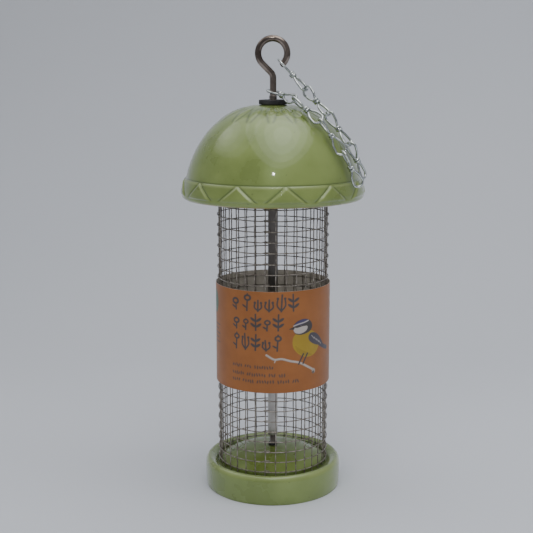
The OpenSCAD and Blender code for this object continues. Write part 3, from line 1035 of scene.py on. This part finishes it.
def link_path(length, lower_turn, spread):
    """Wire of one double-loop link, with its run along +X and its upper loop in the XY plane.
    It starts and ends as a cut tail that wraps round the waist; spread bows the legs outward."""
    waist = length / 2
    half_knot = KNOT_LENGTH / 2
    core_r, wrap_r, wrap_turns, wrap_length = 0.45, 1.28, 1.15, 1.2825
    leg = waist - half_knot
    broad_x = 0.55 * leg + 1
    side = [(leg + 0.15, -wrap_r, 0), (leg - 1.5, -1.75, 0), (broad_x, -LOOP_R * 0.8 - spread, 0)]
    turn = [(LOOP_R * (1 - math.cos(a)), -LOOP_R * math.sin(a), 0)
            for a in np.linspace(math.radians(80), -math.radians(80), 9)]
    back = [(broad_x, LOOP_R * 0.75 + 0.5 * spread, 0), (leg - 1.3, 1.25, 0), (leg + 0.3, core_r, 0)]
    tail = [(leg + 0.35 + wrap_length * t / wrap_turns, -wrap_r * math.cos(TAU * t),
             wrap_r * math.sin(TAU * t)) for t in np.linspace(wrap_turns, 0, 10)]
    upper = np.array(tail[:-1] + side + turn + back)
    lower = upper.copy()
    lower[:, 0] = length - lower[:, 0]
    lower[:, 2] *= -1
    c, s = math.cos(lower_turn), math.sin(lower_turn)
    y, z = lower[:, 1].copy(), lower[:, 2].copy()
    lower[:, 1], lower[:, 2] = c * y - s * z, s * y + c * z
    whole = np.concatenate([upper, lower[::-1]])
    return smooth_path(whole, 5)


def make_link(index):
    """One link, laid between the pivots that the frame gives."""
    body = f"link_{index}"
    first = index in (1, 5)
    strand_end = index in (4, 8)
    joint = f"{body}_swing" if index == 5 else f"{body}_lift"
    start = joint_place(joint)
    if strand_end:
        end = np.array(STRAND_ENDS[body])
    else:
        end = joint_place(f"link_{index + 1}_lift")
    run = unit(end - start)
    upper_pivot = joint_axis(joint)
    if index == 1:
        spoke = start - np.array((EYE_CENTRE[0], 0.0, EYE_CENTRE[1]))
        upper_pivot = unit((-spoke[2], 0, spoke[0]))
    roll = RIGHT_ROLL if index < 5 else FRONT_ROLL
    lower_pivot = end_pivot_axis(end, run, roll) if strand_end else joint_axis(f"link_{index + 1}_lift")
    reach = EYE_REACH if first else 2 * LINK_WIRE_R + LINK_PLAY
    upper_side = unit(np.cross(upper_pivot, run))
    third = np.cross(run, upper_side)
    lower_side = unit(lower_pivot - np.dot(lower_pivot, run) * run)
    lower_turn = math.atan2(np.dot(lower_side, third), np.dot(lower_side, upper_side))
    rng = random.Random(40 + index)
    path = link_path(np.linalg.norm(end - start) + reach, lower_turn, rng.uniform(-0.1, 0.2))
    frame_axes = np.stack([run, upper_side, third])
    placed = start - reach * run + path @ frame_axes
    points, faces = tube_along(placed, LINK_WIRE_R, 12)
    new_piece(f"chain_link_{index}_wire", points, faces, body, "chain_zinc",
              [f"chain_link_{index}"], ZINC)


for link_index in range(1, 9):
    make_link(link_index)


# ---------------------------------------------------------------- card sleeve

CARD_ORANGE = np.array((0.300, 0.108, 0.026))
SLATE = np.array((0.040, 0.045, 0.052))
CAP_BLUE = np.array((0.045, 0.045, 0.135))
CHEEK = np.array((0.50, 0.47, 0.45))
BELLY = np.array((0.36, 0.25, 0.020))
WING = np.array((0.055, 0.060, 0.085))
TWIG = np.array((0.46, 0.42, 0.38))
LEAF_GREEN = np.array((0.030, 0.130, 0.080))
BOARD = np.array((0.40, 0.37, 0.32))
LINE_EDGE, BLOB_EDGE, SHAPE_EDGE = 0.14, 0.16, 0.13


class Print:
    """Flat colours laid on the card at points given by distance round it and height."""

    def __init__(self, around, height):
        self.u, self.z = around, height
        self.colour = np.tile(CARD_ORANGE, (len(around), 1))

    def lay(self, cover, colour):
        cover = np.clip(cover, 0, 1)[:, None]
        self.colour = self.colour * (1 - cover) + np.asarray(colour) * cover

    def near(self, points):
        """Distance to a line of points."""
        best = np.full(len(self.u), 1e9)
        for (x0, z0), (x1, z1) in zip(points[:-1], points[1:]):
            dx, dz = x1 - x0, z1 - z0
            t = np.clip(((self.u - x0) * dx + (self.z - z0) * dz) / (dx * dx + dz * dz + 1e-9), 0, 1)
            best = np.minimum(best, np.hypot(self.u - x0 - t * dx, self.z - z0 - t * dz))
        return best

    def line(self, points, width, colour, strength=1.0):
        curve = smooth_path(np.array(points), 5) if len(points) > 2 else np.array(points)
        outside = self.near(curve) - width / 2
        self.lay(strength * soft_step(LINE_EDGE, -LINE_EDGE, outside), colour)

    def blob(self, centre, radii, tilt, colour, strength=1.0):
        """Filled ellipse, tilted in degrees."""
        c, s = math.cos(math.radians(tilt)), math.sin(math.radians(tilt))
        x, z = self.u - centre[0], self.z - centre[1]
        across, up = (c * x + s * z) / radii[0], (-s * x + c * z) / radii[1]
        out = (np.hypot(across, up) - 1) * min(radii)
        self.lay(strength * soft_step(BLOB_EDGE, -BLOB_EDGE, out), colour)

    def shape(self, points, colour, strength=1.0):
        """Filled smooth closed shape."""
        curve = smooth_path(np.array(points), 5, closed=True)
        inside = np.zeros(len(self.u), bool)
        after = np.roll(curve, -1, axis=0)
        for (x0, z0), (x1, z1) in zip(curve, after):
            crosses = (z0 > self.z) != (z1 > self.z)
            if z1 != z0:
                inside ^= crosses & (self.u < (x1 - x0) * (self.z - z0) / (z1 - z0) + x0)
        away = self.near(np.concatenate([curve, curve[:1]]))
        self.lay(strength * soft_step(SHAPE_EDGE, -SHAPE_EDGE, np.where(inside, -away, away)), colour)


class Scaled:
    """Lays marks moved from one point to another and stretched by an amount each way."""

    def __init__(self, ink, to, start, stretch):
        self.ink, self.to, self.start, self.stretch = ink, to, start, stretch

    def put(self, point):
        return tuple(t + (c - s) * k for c, t, s, k in zip(point, self.to, self.start, self.stretch))

    def line(self, points, width, colour, strength=1.0):
        self.ink.line([self.put(p) for p in points], width, colour, strength)

    def shape(self, points, colour, strength=1.0):
        self.ink.shape([self.put(p) for p in points], colour, strength)

    def blob(self, centre, radii, tilt, colour, strength=1.0):
        self.ink.blob(self.put(centre), radii, tilt, colour, strength)


def lay_sprig(ink, left, right, middle, size, seed):
    """A row of upright sprigs in dark ink: stems with paired leaves and round berries."""
    rng = random.Random(seed)
    x = left
    while x < right - 1:
        wide = size * rng.uniform(0.52, 0.68)
        tall = size * rng.choice((0.62, 0.66, 0.95))
        base = middle - size * 0.36
        lean = rng.uniform(-0.06, 0.06) * size
        kind = rng.randrange(3)
        stem = x + wide * 0.45
        ink.line([(stem, base), (stem + lean, base + tall)], 1.0, SLATE)
        if kind == 0:
            for up in (0.25, 0.6):
                for across, tilt in ((0.2, -35), (0.72, 35)):
                    leaf = (x + wide * across, base + tall * up + 0.6)
                    ink.blob(leaf, (wide * 0.30, 0.80), tilt, SLATE)
        elif kind == 1:
            berry = (stem + lean, base + tall * 0.78)
            ink.blob(berry, (wide * 0.36, wide * 0.3), 0, SLATE)
            ink.blob(berry, (wide * 0.17, wide * 0.13), 0, CARD_ORANGE)
            ink.blob((x + wide * 0.22, base + tall * 0.25), (wide * 0.26, 0.55), -30, SLATE)
        else:
            for bow, tip in ((0.1, 0.15), (0.82, 0.78)):
                ink.line([(stem, base + 0.3), (x + wide * bow, base + tall * 0.35),
                          (x + wide * tip, base + tall * 0.72)], 0.95, SLATE)
                ink.blob((x + wide * tip, base + tall * 0.78), (0.75, 0.75), 0, SLATE)
        x += wide + size * 0.05


def lay_seed_row(ink, left, right, middle, seed, strength=0.8):
    """A row of small seeds, in groups."""
    rng = random.Random(seed)
    x = left
    while x < right:
        for _ in range(rng.randint(3, 8)):
            if x > right:
                break
            ink.blob((x, middle + rng.uniform(-0.25, 0.25)), (0.48, rng.uniform(0.85, 1.3)),
                     rng.uniform(-25, 25), SLATE, strength)
            x += rng.uniform(1.35, 1.65)
        x += 1.5


def lay_bird(ink):
    """A small round garden bird with a dark cap and a yellow breast, on a pale twig."""
    ink.line([(-4.0, 91.0), (0.5, 88.4), (5.0, 88.6), (10.5, 87.0), (16.0, 85.6), (21.5, 82.6),
              (25.6, 80.2)], 1.25, TWIG)
    ink.line([(-3.8, 90.3), (0.6, 87.8), (5.2, 88.1), (10.6, 86.4), (16.0, 85.0), (21.4, 82.0)], 0.35,
             TWIG * 0.45, 0.7)
    ink.line([(1.5, 88.4), (0.8, 86.6)], 0.6, TWIG)
    ink.blob((26.6, 79.0), (1.35, 1.6), 20, TWIG * 0.8)
    ink.blob((26.4, 78.2), (1.0, 0.9), 20, TWIG * 0.25)
    ink = Scaled(ink, (9.4, 88.0), (12.6, 88.0), (1.12, 0.74))
    ink.line([(30.0, 99.5), (36.5, 94.0), (40.5, 91.5)], 2.6, WING)
    ink.shape([(16.0, 108.0), (14.6, 103.0), (15.2, 97.0), (18.2, 91.8), (23.0, 88.6), (28.0, 89.6),
               (31.4, 94.0), (32.2, 99.6), (30.6, 105.4), (26.0, 110.0), (20.6, 111.0)], BELLY)
    ink.shape([(16.0, 99.0), (17.6, 93.6), (22.0, 89.6), (27.0, 89.6), (24.0, 92.0), (20.0, 95.0)],
              BELLY * 0.72, 0.55)
    ink.shape([(25.8, 107.8), (29.2, 107.2), (32.4, 103.6), (35.0, 98.8), (36.6, 94.8), (33.0, 95.8),
               (28.6, 97.8), (25.2, 101.0), (24.2, 104.6)], WING)
    for k in range(4):
        ink.line([(26.4 + 1.9 * k, 105.6 - 1.9 * k), (28.4 + 1.9 * k, 102.4 - 1.9 * k)], 0.38, CHEEK, 0.8)
    ink.shape([(15.2, 111.0), (15.0, 115.4), (17.6, 119.0), (21.8, 120.2), (25.4, 118.0), (26.8, 113.6),
               (25.2, 109.6), (20.6, 107.6), (16.8, 108.2)], SLATE)
    ink.shape([(15.0, 113.6), (16.0, 109.6), (19.4, 108.6), (22.8, 110.6), (23.4, 114.0), (20.0, 114.2),
               (17.2, 113.4)], CHEEK)
    ink.shape([(15.4, 115.6), (17.8, 118.8), (21.8, 120.0), (24.2, 118.2), (21.6, 116.6), (18.4, 115.4)],
              CAP_BLUE)
    ink.line([(15.2, 115.2), (18.0, 116.4), (21.6, 117.4), (24.0, 118.4)], 0.65, CHEEK)
    ink.blob((19.2, 114.7), (0.62, 0.55), 0, SLATE * 0.3)
    ink.blob((19.4, 114.9), (0.18, 0.18), 0, CHEEK)
    ink.shape([(15.3, 114.2), (13.0, 113.2), (12.6, 112.8), (13.4, 112.5), (15.4, 112.4)], SLATE * 0.8)
    for x in (19.6, 22.2):
        ink.line([(x + 1.4, 91.5), (x - 0.2, 87.2), (x - 1.4, 83.6)], 0.95, SLATE)


def make_sleeve():
    """Printed card rolled into a sleeve, glued with a lap at the back, board showing inside."""
    card_t, soft_edge, lap_height = 0.4, (0.08, 0.12), 0.18
    outer, inner = SLEEVE_R, SLEEVE_R - card_t
    z0, z1 = SLEEVE_Z
    front = -math.pi / 2
    printed_half = 1.68
    fine = np.linspace(-printed_half, printed_half, 440)
    coarse = np.linspace(printed_half, TAU - printed_half, 90)[1:-1]
    from_front = np.concatenate([fine, coarse])
    angle = front + from_front
    rows = np.linspace(z0 + soft_edge[1], z1 - soft_edge[1], 228)
    outline = [(outer, z) for z in rows]
    outline += [(outer - soft_edge[0], z1), (inner + soft_edge[0], z1)]
    outline += [(inner, z) for z in np.linspace(z1 - soft_edge[1], z0 + soft_edge[1], 24)]
    outline += [(inner + soft_edge[0], z0), (outer - soft_edge[0], z0)]
    outline = np.array(outline)
    turns = len(angle)
    r, z = outline[:, 0][:, None], outline[:, 1][:, None]
    lap = soft_step(math.pi - 0.004, math.pi + 0.004, from_front)
    lap *= soft_step(math.pi + 0.5, math.pi + 0.1, from_front)
    r = r + lap_height * lap[None, :]
    points = np.stack([r * np.cos(angle), r * np.sin(angle), z + 0 * r], axis=-1).reshape(-1, 3)
    sleeve = new_piece("card_sleeve", points, grid_faces(len(outline), turns, closed_rows=True),
                       "card_sleeve", "printed_card", ["label_sleeve"], PRINTED)
    sleeve.data.materials.append(CARD_BACK)
    inside = np.repeat(np.arange(len(outline)) >= len(rows), turns)
    sleeve.data.polygons.foreach_set("material_index", inside.astype(np.int32))

    around = np.tile(wrapped(from_front) * outer, len(rows))
    ink = Print(around, np.repeat(rows, turns))
    for left, right, down, size, seed in ((-26.6, 12.0, 8.0, 10.4, 2), (-26.2, 6.8, 19.6, 10.0, 6),
                                          (-26.2, 5.2, 31.8, 10.0, 11)):
        lay_sprig(ink, left, right, z1 - down, size, seed)
    for down, right in ((45.6, 0.8), (50.4, 7.9), (54.4, 15.3)):
        lay_seed_row(ink, -26.0, right, z1 - down, int(down))
    lay_bird(ink)
    ink.shape([(-47.5, 125.5), (-43.6, 121.5), (-43.2, 115.5), (-46.6, 111.0), (-51.0, 113.0),
               (-52.0, 121.0)], LEAF_GREEN)
    ink.line([(-47.8, 124.8), (-46.6, 118.5), (-47.4, 111.8)], 0.5, CHEEK, 0.8)
    for k in range(5):
        ink.line([(-49.5, 104.5 - 2.7 * k), (-40.5 - (k % 2) * 2, 104.5 - 2.7 * k)], 0.8, SLATE, 0.7)
    back = 0.5 * TAU * outer
    for k in range(9):
        ink.line([(-back + 8, 118 - 4.4 * k), (-back + 36 - (k % 3) * 4, 118 - 4.4 * k)], 0.8, SLATE, 0.6)
    whole = np.ones((len(points), 4))
    whole[:, :3] = BOARD
    whole[:len(ink.colour), :3] = ink.colour
    ink_layer = sleeve.data.color_attributes.new("ink", "FLOAT_COLOR", "POINT")
    ink_layer.data.foreach_set("color", whole.astype(np.float32).ravel())


make_sleeve()


# ---------------------------------------------------------------- floor and light

def make_stage():
    """Pale floor that sweeps up behind into a plain backdrop."""
    reach, near, back, bend, height, strips = 2.2, -1.4, 0.9, 0.6, 2.2, 8
    line = [(y, 0.0) for y in np.linspace(near, back - bend, 9)]
    line += [(back - bend + bend * math.sin(a), bend * (1 - math.cos(a)))
             for a in np.linspace(0, math.pi / 2, 24)]
    line += [(back, height)]
    points = [(x, y, z) for x in np.linspace(-reach, reach, strips + 1) for y, z in line]
    rows = len(line)
    faces = [(a, a + rows, a + rows + 1, a + 1)
             for i in range(strips) for a in range(i * rows, (i + 1) * rows - 1)]
    mesh = bpy.data.meshes.new("backdrop")
    mesh.from_pydata(points, [], faces)
    mesh.shade_smooth()
    stage = bpy.data.objects.new("backdrop", mesh)
    bpy.context.collection.objects.link(stage)
    f = Finish("backdrop_paper", Roughness=0.75, Specular_IOR_Level=0.2)
    cloud = f.effect(CLOUDY, Light=(0.660, 0.688, 0.740), Dark=(0.648, 0.676, 0.728), Size=3.0)
    f.feed("Base Color", f.w.mix(f.mask("light_fall"), (0.0, 0.0, 0.0), cloud["Colour"]))
    mesh.materials.append(f.material)
    x, y, z = np.array(points).T
    brightest, near_glow, dim_far = 1.3, 1.14, 0.27
    fall = near_glow - dim_far * np.clip((y + z + 0.05) / 1.2, 0, 1) + np.clip(0.3 * x, -0.12, 0.1)
    set_mask(stage, "light_fall", fall / brightest)


def soft_light(name, place, aim, size, power, colour=(1.0, 1.0, 1.0)):
    """Rectangular softbox at a place in metres, facing a point."""
    data = bpy.data.lights.new(name, "AREA")
    data.shape = "RECTANGLE"
    data.size, data.size_y = size
    data.energy = power
    data.color = colour
    light = bpy.data.objects.new(name, data)
    light.location = place
    light.rotation_euler = (Vector(aim) - Vector(place)).to_track_quat("-Z", "Y").to_euler()
    bpy.context.collection.objects.link(light)
    return light


def graded_softbox(name, place, size, power, steps=4):
    """Overhead softbox that fades toward its edge: ellipses inside one another, hung in steps."""
    hang = 0.004
    shares = [(k + 1) / steps for k in range(steps)]
    total = sum(share ** 2 for share in shares)
    x, y, z = place
    for k, share in enumerate(shares):
        light = soft_light(f"{name}_{k}", (x, y, z - hang * k), (x, y, 0.0),
                           (size[0] * share, size[1] * share), power * share ** 2 / total)
        light.data.shape = "ELLIPSE"


def make_lights():
    """Broad overhead light that the glaze mirrors, hidden fills, and one small lamp."""
    graded_softbox("overhead", (0.20, -0.28, 1.30), (1.55, 2.5), 14.0)
    graded_softbox("overhead_left", (-1.05, 0.55, 1.36), (1.7, 2.4), 7.5)
    front = soft_light("front_fill", (-0.5, -1.5, 0.9), (0, 0, 0.12), (1.4, 1.0), 9.5, (1.0, 0.99, 0.97))
    side = soft_light("side_fill", (1.3, -0.3, 0.7), (0, 0, 0.12), (0.6, 1.0), 3.0)
    front.visible_glossy = False
    side.visible_glossy = False
    soft_light("small_lamp", (0.0, -0.95, 0.72), (0, 0, 0.2), (0.045, 0.045), 0.7)
    world = bpy.data.worlds.new("room")
    bpy.context.scene.world = world
    world.use_nodes = True
    room = world.node_tree.nodes["Background"]
    room.inputs["Color"].default_value = (0.60, 0.61, 0.66, 1.0)
    room.inputs["Strength"].default_value = 0.46


make_stage()
make_lights()
